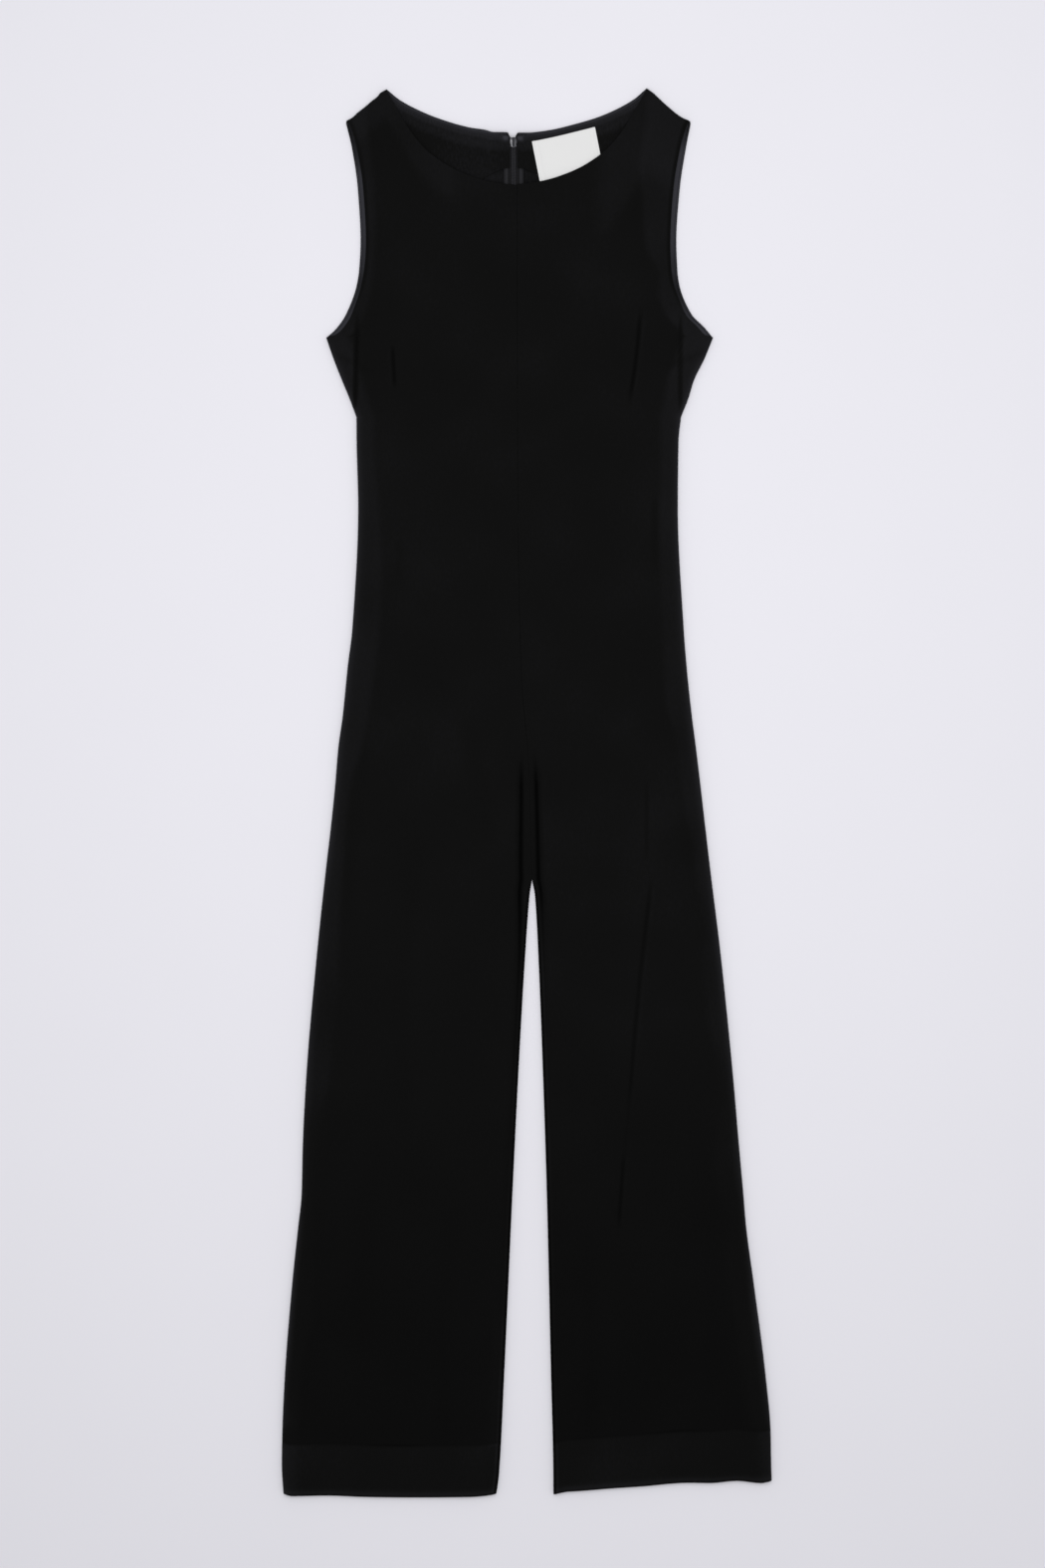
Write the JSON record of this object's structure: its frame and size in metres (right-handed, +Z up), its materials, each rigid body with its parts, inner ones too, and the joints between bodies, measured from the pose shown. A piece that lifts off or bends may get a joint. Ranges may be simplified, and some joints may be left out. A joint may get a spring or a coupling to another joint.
{
  "type": "sleeveless wide-leg jumpsuit, laid flat",
  "caption": "One-piece sleeveless garment with a wide neckline, a zip at the centre back and wide legs, laid flat on its back.",
  "frame": {"origin": "centre of the footprint, on the surface that the garment lies on", "axes": "+Y from the hems to the shoulders, +X towards the wearer's left side, +Z up from the surface, out of the garment's front"},
  "size_m": [0.4919, 1.4151, 0.0074],
  "materials": {
    "crepe": "matte black crepe",
    "facing": "matte black crepe, wrong side",
    "zip_tape": "black woven tape",
    "zip_metal": "plain grey metal",
    "label": "white satin ribbon"
  },
  "bodies": {
    "garment": {"front_right": "crepe", "front_left": "crepe", "back_right": "crepe", "back_left": "crepe", "facing_right": "facing", "facing_left": "facing", "zip_tape_right": "zip_tape", "zip_tape_left": "zip_tape", "zip_slider": "zip_metal", "neck_label": "label"},
    "pull": {"zip_pull": "zip_metal"}
  },
  "joints": [
    {"name": "zip_pull_hinge", "type": "hinge", "parent": "garment", "child": "pull", "pos_m": [-0.01366, 0.6572, 0.00135], "axis": [1, 0, 0], "range_deg": [0, 150]}
  ]
}
